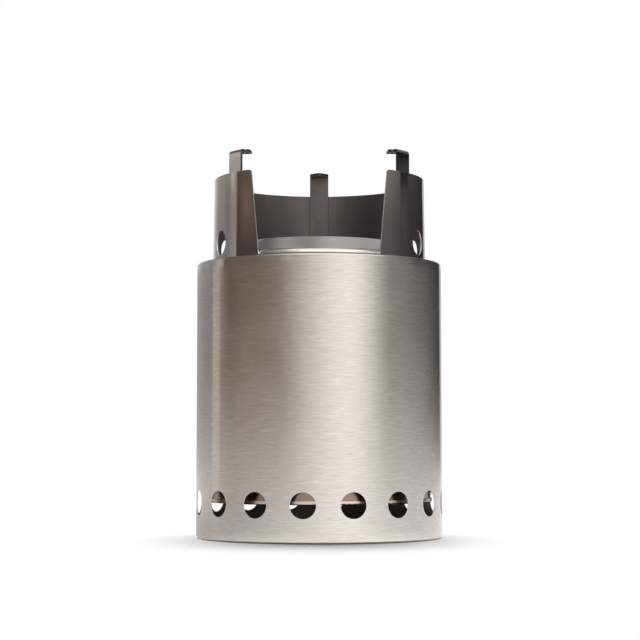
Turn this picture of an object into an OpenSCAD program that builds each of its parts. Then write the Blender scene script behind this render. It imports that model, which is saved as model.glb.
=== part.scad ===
// Double-wall twig stove with a lift-off cooking ring.
// Millimetres, +Z up. The origin is on the ground, on the stove's axis, and the feed opening faces -Y.

/* [Outer wall] */
// Outer diameter of the stove body
body_d = 130; // [110:0.5:160]
// Height of the outer wall, from the ground to its top edge
body_h = 144.4; // [110:0.1:190]
// Thickness of the body sheet
body_t = 0.4; // [0.3:0.05:0.7]
// Outside radius of the rounded shoulder
shoulder_r = 1.8; // [1.2:0.1:3]
// Height of the band below the shoulder that is drawn in
shoulder_band = 6; // [3:0.5:12]
// How far that band is drawn in
shoulder_draw = 0.3; // [0.1:0.05:0.6]
// Width of the flat ledge inside the shoulder
ledge_w = 1.6; // [1:0.1:3]
// Outside radius of the corner at the ground
foot_r = 1.6; // [1.2:0.1:3]
// Width of the flat foot that is turned in
foot_w = 5; // [4:0.5:8]

/* [Air vents] */
// Number of vents around the bottom of the outer wall
vent_n = 16; // [8:1:20]
// Diameter of a vent
vent_d = 13; // [6:0.5:16]
// Height of the vents' centres above the ground
vent_z = 19; // [14:0.1:30]
// Turn of the row of vents from the front
vent_turn = -7.2; // [-11:0.1:11]

/* [Burn chamber] */
// Gap between the outer and the inner wall
air_gap = 5.7; // [4:0.1:8]
// Thickness of the inner wall
chamber_t = 0.4; // [0.3:0.05:0.7]
// Bend radius inside the folds of the inner wall and the pan
fold_r = 0.8; // [0.5:0.1:1.5]
// Clearance between the inner wall's flange and the bend of the shoulder
flange_play = 0.2; // [0.1:0.05:0.5]
// Number of jets near the top of the inner wall
jet_n = 24; // [12:1:30]
// Diameter of a jet
jet_d = 5; // [2:0.5:7]
// Drop from the ledge to the jets' centres
jet_drop = 12; // [8:0.5:25]

/* [Grate seat] */
// Height of the seat's underside above the ground
seat_z = 19; // [14:0.1:30]
// Thickness of the seat
seat_t = 0.4; // [0.3:0.05:0.7]
// Height of the hem outside the inner wall
seat_hem = 2; // [1.6:0.1:5]
// Width of the shelf that carries the grate
shelf_w = 8.6; // [6:0.1:14]

/* [Grate] */
// Diameter of the grate wire
wire_d = 2; // [1.6:0.1:3]
// Distance from the rim wire to the outermost bars
bar_margin = 11; // [8:0.5:14]
// Distance of the two cross wires from the middle
cross_y = 18; // [10:1:30]
// Length of a bar beyond the middle of the rim wire
bar_over = 1; // [0.5:0.1:1.5]
// Clearance between the inner wall and the rim wire
rim_play = 2.4; // [1.8:0.1:4]

/* [Ash pan] */
// Height of the pan's floor above the ground
pan_h = 5; // [3.5:0.1:9]
// Thickness of the pan
pan_t = 0.4; // [0.3:0.05:0.7]
// Width of the pan's rim that lies on the foot
pan_rim_w = 2.9; // [1.5:0.1:3.5]

/* [Cooking ring] */
// Width of the flange outside the ring's wall
flange_w = 4.3; // [3:0.1:6]
// How much narrower the ring is at its top
ring_taper = 1.2; // [0.2:0.1:2]
// Thickness of the ring, its flange and its lip
ring_t = 0.6; // [0.4:0.05:1]
// Height of the ring above its flange
ring_h = 44.4; // [38:0.1:60]
// Half angle of the feed opening at the base
feed_base_a = 33; // [25:0.5:37]
// Half angle of the feed opening at the top
feed_top_a = 38.5; // [30:0.5:42]
// Radius of the corners at the top of the feed opening
feed_corner_r = 1.5; // [1:0.1:5]
// Diameter of the holes in the ring
ring_hole_d = 13; // [6:0.5:15]
// Height of the holes' centres above the flange
ring_hole_z = 9.6; // [9:0.1:12]
// Angle from the front to the first hole on each side
ring_hole_a = 66; // [60:0.5:70]
// Angle between the holes
ring_hole_pitch = 48; // [44:0.5:50]

/* [Domed lip] */
// Clearance between the ring's flange and the stove's ledge
ring_play = 0.4; // [0.3:0.05:0.8]
// Height of the lip's straight neck above its seat
neck_h = 2.4; // [1:0.1:3]
// Rise of the lip above its seat
lip_rise = 11; // [8:0.1:13]
// Width of the lip, from its neck to its crest
lip_w = 11.9; // [9:0.1:14]
// Half of the angle that the domed face turns through
lip_bulge = 14; // [8:0.5:18]
// Radius of the rolled edge
lip_roll_r = 2; // [1.5:0.1:3]

/* [Pot supports] */
// Width of a support
support_w = 10.4; // [7:0.1:12]
// Thickness of a support
support_t = 1.2; // [0.8:0.1:1.6]
// Angle from the front to the two side supports
support_a = 52.5; // [50:0.5:55]
// Height of the pot rests above the top of the ring
support_rise = 12.5; // [8:0.5:20]
// Length of a support below the top of the ring
support_drop = 24; // [14:0.5:26]
// Length of a pot rest, from the back of the support to its nose
support_reach = 8.5; // [5.5:0.5:12]
// Outside radius of the bend between the support and its pot rest
support_bend_r = 2; // [1.8:0.1:3]
// Radius of the relief notch at each end of the bend
notch_r = 0.8; // [0.4:0.1:1.2]
// Chamfer of the nose of the pot rest
nose_c = 1.5; // [0.5:0.1:2.5]
// Gap left between wires and strips where they are welded
weld_gap = 0.1; // [0.05:0.05:0.2]

/* [Hidden] */
$fn = 96;
bar_count = 9;

brushed = "silver";
polished = "gainsboro";
sooted = "dimgray";
blued = "slategray";

// How far a cutter runs past the face that it cuts
past = 1;

// Radii of the outer wall
body_r = body_d / 2;
shoulder_x = body_r - shoulder_draw - shoulder_r;
ledge_r = shoulder_x - ledge_w;
foot_x = body_r - foot_r;

// The ring stands on the inner wall's flange, inside the ledge
rest_z = body_h - body_t;
ring_z = rest_z + ring_t;
ring_top_z = ring_z + ring_h;
chamber_r = body_r - body_t - air_gap;

// The grate seat folds round the bottom edge of the inner wall
seat_bend_r = fold_r;
seat_r = chamber_r + seat_bend_r;
shelf_z = seat_z + seat_t;
shelf_r = chamber_r - chamber_t - shelf_w;

// The rim wire lies on the shelf, and the bars lie on the rim wire
rim_r = chamber_r - chamber_t - rim_play - wire_d / 2;
rim_z = shelf_z + wire_d / 2;
bar_z = rim_z + wire_d + weld_gap;
bar_pitch = 2 * (rim_r - bar_margin) / (bar_count - 1);

// Pan
pan_rim_r = foot_x - flange_play;
pan_bend_x = pan_rim_r - pan_rim_w;
pan_rim_z = body_t;

// Ring, from its base to its top
flange_r = ledge_r - ring_play;
ring_r = flange_r - flange_w;
ring_top_r = ring_r - ring_taper / 2;
neck_r = ring_r - ring_t - weld_gap;
holes_per_side = 3;

// Corners of the feed opening: faces in each, and the angle at which they meet the top of the ring
corner_steps = 6;
corner_run_out = 12;

// Domed face of the lip, as an arc from the top of the neck to the start of the rolled edge
dome_from = [neck_r, rest_z + neck_h];
dome_to = [neck_r - lip_w, rest_z + lip_rise];
dome_chord = dome_to - dome_from;
dome_lean = atan(dome_chord[1] / -dome_chord[0]);
dome_r = norm(dome_chord) / (2 * sin(lip_bulge));
dome_a0 = 90 - dome_lean - lip_bulge;
dome_a1 = 90 - dome_lean + lip_bulge;
dome_mid = dome_from - dome_r * [cos(dome_a0), sin(dome_a0)];
roll_mid = dome_to - lip_roll_r * [cos(dome_a1), sin(dome_a1)];
roll_end_a = 200;
dome_steps = 12;
roll_steps = 12;
roll_first_a = (roll_end_a - dome_a1) / (roll_steps + 1);

// Supports
support_top_z = ring_top_z + support_rise;
support_low_z = ring_top_z - support_drop;
support_back = sqrt(pow(ring_top_r - ring_t, 2) - pow(support_w / 2, 2)) - weld_gap;

// Part of a sheet that is bent through an arc, in section
module bend(outer_r, t, from, to) {
    steps = 6;
    reach = 2 * outer_r;
    fan = [for (i = [0:steps]) let (a = from + (to - from) * i / steps) reach * [cos(a), sin(a)]];
    intersection() {
        difference() {
            circle(r = outer_r);
            circle(r = outer_r - t);
        }
        polygon(concat([[0, 0]], fan));
    }
}

// Straight part of a sheet, in section, between two corners
module strip(low, high) {
    translate(low)
        square(high - low);
}

// Cutter for a round hole through a round wall, at an angle from the front
module side_hole(angle, z, d, wall_r, wall_t) {
    inner_r = sqrt(pow(wall_r - wall_t, 2) - pow(d / 2, 2)) - past;
    rotate([0, 0, angle])
        translate([0, -inner_r, z])
            rotate([90, 0, 0])
                cylinder(d = d, h = wall_r + past - inner_r);
}

module outer_wall() {
    band_z = body_h - shoulder_r - shoulder_band;
    color(brushed)
        difference() {
            rotate_extrude() {
                strip([foot_x - foot_w, 0], [foot_x, body_t]);
                translate([foot_x, foot_r])
                    bend(foot_r, body_t, 270, 360);
                strip([body_r - body_t, foot_r], [body_r, band_z]);
                polygon([
                    [body_r - body_t, band_z],
                    [body_r, band_z],
                    [body_r - shoulder_draw, body_h - shoulder_r],
                    [body_r - shoulder_draw - body_t, body_h - shoulder_r]
                ]);
                translate([shoulder_x, body_h - shoulder_r])
                    bend(shoulder_r, body_t, 0, 90);
                strip([ledge_r, body_h - body_t], [shoulder_x, body_h]);
            }
            for (i = [0:vent_n - 1])
                side_hole(vent_turn + i * 360 / vent_n, vent_z, vent_d, body_r, body_t);
        }
}

module inner_wall() {
    fold_x = chamber_r + fold_r;
    fold_z = rest_z - chamber_t - fold_r;
    color(sooted)
        difference() {
            rotate_extrude() {
                strip([chamber_r - chamber_t, shelf_z], [chamber_r, fold_z]);
                translate([fold_x, fold_z])
                    bend(fold_r + chamber_t, chamber_t, 90, 180);
                strip([fold_x, rest_z - chamber_t], [shoulder_x - flange_play, rest_z]);
            }
            for (i = [0:jet_n - 1])
                side_hole(i * 360 / jet_n, rest_z - jet_drop, jet_d, chamber_r, chamber_t);
        }
}

module grate_seat() {
    color(brushed)
        rotate_extrude() {
            strip([shelf_r, seat_z], [seat_r - seat_bend_r, shelf_z]);
            translate([seat_r - seat_bend_r, seat_z + seat_bend_r])
                bend(seat_bend_r, seat_t, 270, 360);
            strip([seat_r - seat_t, seat_z + seat_bend_r], [seat_r, seat_z + seat_hem]);
        }
}

module ash_pan() {
    riser_r = pan_bend_x - fold_r;
    floor_r = riser_r - pan_t - fold_r;
    rim_top = pan_rim_z + pan_t;
    color(sooted)
        rotate_extrude() {
            strip([pan_bend_x, pan_rim_z], [pan_rim_r, rim_top]);
            translate([pan_bend_x, rim_top + fold_r])
                bend(fold_r + pan_t, pan_t, 180, 270);
            strip([riser_r - pan_t, rim_top + fold_r], [riser_r, pan_h - pan_t - fold_r]);
            translate([floor_r, pan_h - pan_t - fold_r])
                bend(fold_r + pan_t, pan_t, 0, 90);
            strip([0, pan_h - pan_t], [floor_r, pan_h]);
        }
}

module grate_rim() {
    color(blued)
        translate([0, 0, rim_z])
            rotate_extrude()
                translate([rim_r, 0])
                    circle(d = wire_d);
}

// Bars run from the front to the back, and are numbered from left to right
module grate_bar(number) {
    x = (number - (bar_count + 1) / 2) * bar_pitch;
    half = sqrt(pow(rim_r, 2) - pow(x, 2)) + bar_over;
    color(blued)
        translate([x, half, bar_z])
            rotate([90, 0, 0])
                cylinder(d = wire_d, h = 2 * half);
}

// Cross wires lie under the bars and end against the rim wire
module grate_cross(side) {
    reach_r = rim_r - wire_d / 2 - weld_gap;
    half = sqrt(pow(reach_r, 2) - pow(cross_y + wire_d / 2, 2));
    color(blued)
        translate([-half, side * cross_y, rim_z])
            rotate([0, 90, 0])
                cylinder(d = wire_d, h = 2 * half);
}

function arc_points(mid, r, from, to, steps) =
    [for (i = [0:steps]) let (a = from + (to - from) * i / steps) mid + r * [cos(a), sin(a)]];

module ring_base() {
    top_face = concat(
        arc_points(dome_mid, dome_r, dome_a0, dome_a1, dome_steps),
        arc_points(roll_mid, lip_roll_r, dome_a1 + roll_first_a, roll_end_a, roll_steps)
    );
    under_face = concat(
        arc_points(roll_mid, lip_roll_r - ring_t, roll_end_a, dome_a1 + roll_first_a, roll_steps),
        arc_points(dome_mid, dome_r - ring_t, dome_a1, dome_a0, dome_steps)
    );
    neck_top_z = under_face[len(under_face) - 1][1];
    color(polished)
        rotate_extrude()
            polygon(concat(
                [[neck_r - ring_t, rest_z], [flange_r, rest_z], [flange_r, ring_z], [neck_r, ring_z]],
                top_face, under_face,
                [[neck_r - ring_t, neck_top_z]]
            ));
}

// Outline of the feed opening, seen from the front. Its sides lean outward, and each runs
// into the top of the ring round a corner.
module feed_outline() {
    base_x = ring_r * sin(feed_base_a);
    top_x = ring_top_r * sin(feed_top_a);
    lean = atan((top_x - base_x) / ring_h);
    corner_z = ring_top_z - feed_corner_r;
    corner_x = base_x + (corner_z - ring_z) * tan(lean) + feed_corner_r / cos(lean);
    turn_from = 180 - lean;
    turn_to = 90 + corner_run_out;
    turned = [for (i = [0:corner_steps])
        let (a = turn_from + (turn_to - turn_from) * i / corner_steps)
        [corner_x, corner_z] + feed_corner_r * [cos(a), sin(a)]];
    last = turned[corner_steps];
    run = (ring_top_z + past - last[1]) / tan(corner_run_out);
    side = concat(
        [[base_x - past * tan(lean), ring_z - past]], turned,
        [[last[0] + run, ring_top_z + past]]
    );
    polygon(concat(side, [for (i = [len(side) - 1:-1:0]) [-side[i][0], side[i][1]]]));
}

module ring_wall() {
    color(blued)
        difference() {
            rotate_extrude()
                polygon([
                    [ring_r - ring_t, ring_z],
                    [ring_r, ring_z],
                    [ring_top_r, ring_top_z],
                    [ring_top_r - ring_t, ring_top_z]
                ]);
            rotate([90, 0, 0])
                linear_extrude(ring_r + past)
                    feed_outline();
            for (side = [-1, 1], i = [0:holes_per_side - 1])
                side_hole(
                    side * (ring_hole_a + i * ring_hole_pitch),
                    ring_z + ring_hole_z, ring_hole_d, ring_r, ring_t
                );
        }
}

// A strip that stands inside the ring and is bent inward at its top as a pot rest
module pot_support(angle) {
    bend_x = support_back - support_bend_r;
    bend_z = support_top_z - support_bend_r;
    nose_x = support_back - support_reach;
    color(blued)
        rotate([0, 0, angle - 90])
            difference() {
                rotate([90, 0, 0])
                    linear_extrude(support_w, center = true) {
                        strip([support_back - support_t, support_low_z], [support_back, bend_z]);
                        translate([bend_x, bend_z])
                            bend(support_bend_r, support_t, 0, 90);
                        strip([nose_x, support_top_z - support_t], [bend_x, support_top_z]);
                    }
                for (side = [-1, 1])
                    translate([0, side * support_w / 2, support_top_z - support_t - past]) {
                        translate([bend_x - notch_r, 0, 0])
                            cylinder(r = notch_r, h = support_t + 2 * past);
                        translate([nose_x, 0, 0])
                            rotate([0, 0, 45])
                                translate([-nose_c, -nose_c, 0] * sqrt(0.5))
                                    cube([nose_c * sqrt(2), nose_c * sqrt(2), support_t + 2 * past]);
                    }
            }
}

outer_wall();
inner_wall();
grate_seat();
ash_pan();
grate_rim();
for (number = [1:bar_count])
    grate_bar(number);
grate_cross(-1);  // grate_cross_front
grate_cross(1);  // grate_cross_back
ring_base();
ring_wall();
pot_support(-support_a);  // pot_support_left
pot_support(support_a);  // pot_support_right
pot_support(180);  // pot_support_back
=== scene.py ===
"""Pieces, finishes and studio for a double-wall twig stove with a lift-off cooking ring.

Metres, +Z up. The origin is on the ground, on the stove's axis, and the feed opening faces -Y.
"""

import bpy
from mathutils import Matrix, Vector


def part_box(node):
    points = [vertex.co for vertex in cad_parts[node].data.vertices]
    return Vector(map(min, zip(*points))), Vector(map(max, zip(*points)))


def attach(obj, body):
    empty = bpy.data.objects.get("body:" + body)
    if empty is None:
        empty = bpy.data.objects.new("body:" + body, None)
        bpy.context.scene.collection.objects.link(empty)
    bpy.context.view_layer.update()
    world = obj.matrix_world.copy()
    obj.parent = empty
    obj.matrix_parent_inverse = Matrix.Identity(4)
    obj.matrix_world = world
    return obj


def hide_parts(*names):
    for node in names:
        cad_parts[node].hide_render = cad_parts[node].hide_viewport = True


bl_info = {
    "name": "Twig Stove",
    "version": (1, 0, 0),
    "blender": (4, 5, 0),
    "location": "3D View > Sidebar > Twig Stove",
    "description": "Builds the steel pieces of a twig stove, their finishes and a studio",
    "category": "Object",
}

import math

import bmesh
import bpy
from bpy.props import FloatProperty, FloatVectorProperty, IntProperty, PointerProperty
from bpy.types import Operator, Panel, PropertyGroup
from mathutils import Matrix, Vector

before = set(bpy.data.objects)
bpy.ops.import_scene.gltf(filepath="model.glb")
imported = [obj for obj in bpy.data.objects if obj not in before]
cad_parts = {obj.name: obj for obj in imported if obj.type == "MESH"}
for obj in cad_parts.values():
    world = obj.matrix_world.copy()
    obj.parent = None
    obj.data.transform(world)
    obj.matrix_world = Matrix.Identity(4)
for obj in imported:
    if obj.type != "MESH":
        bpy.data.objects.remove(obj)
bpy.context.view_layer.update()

MM = 0.001
WELD_DISTANCE = 1e-6
# Radius left open where a turned profile meets its axis
POLE_RADIUS = 1e-5
# Angle from which an edge counts as a cut edge
SHARP_ANGLE = math.radians(50)
# Half the size of the patches round the holes, as a share of a hole's radius
VENT_PATCH = 1.45
RING_PATCH_HEIGHT = 1.23
RING_PATCH_WIDTH = 1.36
STOVE = "stove"
RING = "cooking_ring"

OUTER_LOW, OUTER_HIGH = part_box("outer_wall")
RING_LOW, RING_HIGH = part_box("ring_wall")
BASE_LOW, BASE_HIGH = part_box("ring_base")
SUPPORT_LOW, SUPPORT_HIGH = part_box("pot_support_back")
GRATE_BARS = [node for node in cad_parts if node.startswith("grate_bar")]
CROSS_WIRES = [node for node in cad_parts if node.startswith("grate_cross")]


# Sizes, finishes and studio settings that a user would change


def length(name, description, default):
    """A length in metres."""
    return FloatProperty(name=name, description=description, default=default, precision=5,
                         subtype="DISTANCE", unit="LENGTH")


def mm(name, description, default):
    """A length, given in millimetres."""
    return length(name, description, default * MM)


def turn(name, description, degrees):
    """An angle, given in degrees."""
    return FloatProperty(name=name, description=description, default=math.radians(degrees),
                         subtype="ANGLE", unit="ROTATION")


def share(name, description, default, high=1.0):
    """A plain number from zero up."""
    return FloatProperty(name=name, description=description, default=default, min=0.0, max=high,
                         subtype="FACTOR")


def colour(name, description, default):
    """A colour in linear light."""
    return FloatVectorProperty(name=name, description=description, default=default, size=3,
                               subtype="COLOR", min=0.0, max=1.0)


class TwigStoveSizes(PropertyGroup):
    """Sizes of the sheet-metal pieces."""

    wall_sheet: mm("Wall sheet", "Thickness of the outer wall", 0.4)
    shoulder_radius: mm("Shoulder radius", "Outside radius of the rounded shoulder", 0.8)
    shoulder_band: mm("Shoulder band", "Height of the drawn band below the shoulder", 4)
    shoulder_draw: mm("Shoulder draw", "How far that band is drawn in", 0.12)
    ledge_width: mm("Ledge width", "Width of the flat ledge inside the shoulder", 2.8)
    foot_radius: mm("Foot radius", "Outside radius of the corner at the ground", 1.6)
    foot_width: mm("Foot width", "Width of the flat foot that is turned in", 5)
    cut_edge: mm("Cut edge", "Rounding of the cut edges of the sheets", 0.18)

    vent_count: IntProperty(name="Vents", description="Number of air vents", default=16, min=4)
    vent_diameter: mm("Vent diameter", "Diameter of an air vent", 13.2)
    vent_height: mm("Vent height", "Height of the vents' centres above the ground", 19)
    vent_turn: turn("Vent turn", "Turn of the row of vents from the front", -7.2)

    ring_sheet: mm("Ring sheet", "Thickness of the cooking ring and its lip", 0.6)
    ring_rise: mm("Ring rise", "How far the ring's top edge stands above the solid", 0.6)
    ring_taper: mm("Ring taper", "How much less the ring's radius is at its top", 0.6)
    feed_base_angle: turn("Feed base", "Half angle of the feed opening at the base", 33)
    feed_top_angle: turn("Feed top", "Half angle of the feed opening at the top", 38.5)
    feed_corner: mm("Feed corner", "Radius of the corners of the feed opening", 1.5)
    ring_hole_diameter: mm("Ring hole", "Diameter of the holes in the ring", 13)
    ring_hole_height: mm("Hole height", "Height of the holes above the ring's base", 9.6)
    ring_hole_first: turn("First hole", "Angle from the front to the first hole", 66)
    ring_hole_pitch: turn("Hole pitch", "Angle between the holes", 48)

    neck_gap: mm("Neck gap", "Gap between the ring's wall and the band of the lip", 0.1)
    band_tuck: mm("Band tuck", "Radius of the corner below the band of the lip", 0.7)
    band_turn: mm("Band turn", "Radius of the corner above the band of the lip", 3.2)
    band_height: mm("Band height", "From the seat to the middle of the corner below the band", 1.9)
    band_width: mm("Band width", "Width of the band between its corners", 0.6)
    band_lean: turn("Band lean", "How far the band leans back", 20)
    dome_radius: mm("Dome radius", "Radius of the lip's domed face, in section", 150)
    lip_width: mm("Lip width", "From the band's outer face to the middle of the rolled edge", 12.6)
    lip_roll: mm("Lip roll", "Radius of the rolled edge", 2)
    roll_turn: turn("Roll turn", "How far the rolled edge is turned", 200)
    flange_fold: mm("Flange fold", "Radius of the fold between the flange and the neck", 0.5)

    support_width: mm("Support width", "Width of a pot support", 10.4)
    support_sheet: mm("Support sheet", "Thickness of a pot support", 1.2)
    support_angle: turn("Support angle", "Angle from the front to the side supports", 52.5)
    support_bend: mm("Support bend", "Outside radius of a support's bend", 2)
    support_notch: mm("Support notch", "Radius of the relief notches at the bend", 1.3)
    support_nose: mm("Support nose", "Chamfer of the pointed nose of a pot rest", 4.8)
    support_point: mm("Support point", "How far the point of the nose stands out", 2.2)
    support_edge: mm("Support edge", "Rounding of a support's edges", 0.15)

    wire_end: mm("Wire end", "Rounding of the ends of the grate's wires", 0.6)
    weld_bead: mm("Weld bead", "Radius of the weld beads on the grate", 1.3)
    weld_crown: share("Weld crown", "Height of a weld bead as a share of its radius", 0.55)


class TwigStoveFinish(PropertyGroup):
    """Colours and roughness of the steel finishes."""

    outer_colour: colour("Outer wall", "Satin stainless steel", (0.70, 0.665, 0.635))
    ring_colour: colour("Cooking ring", "Smooth steel, tinted by heat", (0.56, 0.53, 0.515))
    lip_colour: colour("Lip", "Polished steel", (0.70, 0.685, 0.67))
    support_colour: colour("Supports", "Satin steel, smoked", (0.57, 0.545, 0.525))
    edge_colour: colour("Support edges", "Smoked cut edges of the supports", (0.12, 0.11, 0.105))
    # Also the colour of the painted shade in the seam below the lip's band
    chamber_colour: colour("Chamber", "Smoked steel inside the stove", (0.31, 0.25, 0.20))
    seat_colour: colour("Grate seat", "Plain drawn steel", (0.74, 0.66, 0.58))
    wire_colour: colour("Grate wire", "Fired wire", (0.34, 0.30, 0.28))
    # Near white: partly bare steel, partly a painted highlight round the vents and the sheets' rims
    cut_highlight_colour: colour("Cut edges", "Bare cut steel", (0.95, 0.94, 0.93))
    soot_colour: colour("Soot", "Soot on the pieces near the fire", (0.040, 0.029, 0.022))

    outer_roughness: share("Outer roughness", "Roughness of the outer wall", 0.18)
    ring_roughness: share("Ring roughness", "Roughness of the cooking ring", 0.09)
    lip_roughness: share("Lip roughness", "Roughness of the polished lip", 0.06)
    grain_contrast: share("Grain contrast", "Contrast of the brushed grain", 0.13)
    # On the cooking ring this tint darkens the ring towards its foot: partly heat colours, partly painted
    # shade
    heat_tint: share("Heat tint", "Strength of the colours left by heat", 0.24)
    # On the outer wall's inner face this soot is painted shade in the gap between the walls
    soot: share("Soot amount", "How much soot lies on the inner faces", 0.75)


class TwigStoveStudio(PropertyGroup):
    """Camera, floor and light."""

    camera_distance: length("Camera distance", "From the stove's axis to the camera", 0.9195)
    camera_height: length("Camera height", "Height of the camera above the floor", 0.0503)
    camera_pitch: turn("Camera pitch", "How far the camera looks up", 4.047)
    camera_lens: FloatProperty(name="Lens", description="Focal length, on a 36 mm sensor", default=97.09,
                               unit="CAMERA")
    camera_shift: FloatProperty(name="Shift", description="Sideways shift of the frame", default=0.0013)
    floor_radius: length("Floor radius", "Radius of the round table top", 1.8)
    floor_fade: length("Floor fade", "Radius at which the table top starts to run out to white", 0.085)
    floor_oval: FloatProperty(name="Floor oval", description="How much sooner it does so to the sides",
                              default=1.6)
    floor_colour: colour("Floor", "Pale table top", (0.95, 0.95, 0.95))
    ambient: share("Ambient", "Light from all round on matt surfaces", 0.35, 4.0)
    top_power: FloatProperty(name="Top light", description="Power of the overhead light", default=19.0,
                             unit="POWER")
    top_height: length("Top height", "Height of the overhead light above the floor", 1.0)
    top_back: length("Top back", "How far behind the stove's axis the overhead light hangs", 0.42)
    top_width: length("Top width", "Width of the overhead light, from left to right", 2.2)
    top_depth: length("Top depth", "Depth of the overhead light, from front to back", 0.6)
    card_radius: length("Card radius", "Distance of the studio's cards from the stove", 1.8)
    card_near: length("Card near", "How near to the stove's axis the table top's light comes", 0.0657)
    card_middle: length("Card middle", "Where the light on the table top passes from near to far", 0.42)
    card_bounce: share("Card bounce", "Share of the cards' light that matt surfaces get from the metal", 0.35)
    card_lift: mm("Card lift", "Height of the table top's light above the floor", 0.1)
    card_low: length("Low cards", "Height up to which the cards take on the table top's haze", 0.14)
    card_haze: share("Card haze", "Share of the table top's haze at the foot of the lowest cards", 0.3)
    card_ring: length("Ring cards", "Height from which the cards light the cooking ring", 0.335)
    card_strap: length("Strap cards", "Height from which the cards light the pot supports", 0.473)
    card_upper: length("Upper cards", "Height from which the cards light the lip and the shoulder", 0.85)
    card_high: length("Card top", "Height of the cards' upper edge, where the ceiling lies", 1.5)
    ceiling_split: length("Ceiling split", "Where the front of the ceiling ends, from the stove's axis", -0.3)


# Meshes


def around(angle, radius, z):
    """The point at a radius and height, at an angle from the front towards the right."""
    return Vector((radius * math.sin(angle), -radius * math.cos(angle), z))


def steps(low, high, count):
    """Evenly spaced values from low to high, count intervals apart."""
    return [low + (high - low) * i / count for i in range(count + 1)]


def arc(centre, radius, first, last, count):
    """Points of a profile along an arc. Angles are in radians from the outward direction."""
    return [(centre[0] + radius * math.cos(a), centre[1] + radius * math.sin(a))
            for a in steps(first, last, count)]


def join_rows(mesh, rows, closed):
    """Quads between rows of points that have the same number of points."""
    made = [[mesh.verts.new(point) for point in row] for row in rows]
    for low, high in zip(made, made[1:]):
        for i in range(len(low) if closed else len(low) - 1):
            j = (i + 1) % len(low)
            mesh.faces.new((low[i], low[j], high[j], high[i]))


def weld(mesh):
    """Joins the points that patches share along their borders."""
    bmesh.ops.remove_doubles(mesh, verts=mesh.verts, dist=WELD_DISTANCE)


def sweep(mesh, profile, angles, closed):
    """A profile of radius and height, carried round the stove's axis through some angles."""
    join_rows(mesh, [[around(a, r, z) for a in angles] for r, z in profile], closed)


def lathe(profile, count):
    """A profile of radius and height, turned all the way round the stove's axis."""
    mesh = bmesh.new()
    sweep(mesh, profile, steps(0, 2 * math.pi, count)[:-1], True)
    return mesh


def pierced_cell(mesh, span, low, high, hole, radius_at, across, up, rings):
    """A patch of a round wall with a round hole through it."""
    middle, half = (span[0] + span[1]) / 2, (span[1] - span[0]) / 2
    hole_z, hole_r = hole
    border = ([(u, low) for u in steps(-half, half, across)[:-1]]
              + [(half, z) for z in steps(low, high, up)[:-1]]
              + [(u, high) for u in steps(half, -half, across)[:-1]]
              + [(-half, z) for z in steps(high, low, up)[:-1]])
    rows = []
    for share_in in steps(0, 1, rings):
        eased = 1 - (1 - share_in) ** 2
        row = []
        for u, z in border:
            facing = math.atan2(z - hole_z, u * radius_at(hole_z))
            edge_z = hole_z + hole_r * math.sin(facing)
            edge_u = math.asin(hole_r * math.cos(facing) / radius_at(edge_z))
            at_z = z + (edge_z - z) * eased
            row.append(around(middle + u + (edge_u - u) * eased, radius_at(at_z), at_z))
        rows.append(row)
    join_rows(mesh, rows, True)


def add_object(name, mesh, materials):
    """Makes a mesh into a smooth object of the scene."""
    data = bpy.data.meshes.new(name)
    mesh.to_mesh(data)
    mesh.free()
    data.shade_smooth()
    for material in materials:
        data.materials.append(material)
    made = bpy.data.objects.new(name, data)
    bpy.context.scene.collection.objects.link(made)
    return made


def add_piece(name, mesh, finishes, body, slot, *nodes):
    """Makes a mesh into a piece of the object that stands for some of its nodes."""
    piece = add_object(name, mesh, [bpy.data.materials[finish] for finish in finishes])
    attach(piece, body)
    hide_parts(*nodes)
    return piece


def dress(node, finish):
    """Gives a CAD node another finish."""
    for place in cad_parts[node].material_slots:
        place.material = bpy.data.materials[finish]


def thicken(piece, thickness, edge):
    """Gives a sheet its thickness inward, and rounds its cut edges, which take its last finish."""
    cut = len(piece.data.materials) - 1
    sheet = piece.modifiers.new("sheet_thickness", "SOLIDIFY")
    sheet.thickness = thickness
    sheet.offset = -1
    sheet.use_even_offset = True
    sheet.material_offset_rim = cut
    bevel = piece.modifiers.new("rounded_edges", "BEVEL")
    bevel.width = edge
    bevel.segments = 2
    bevel.limit_method = "ANGLE"
    bevel.angle_limit = SHARP_ANGLE
    bevel.harden_normals = True
    bevel.material = cut


# Shader nodes


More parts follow.
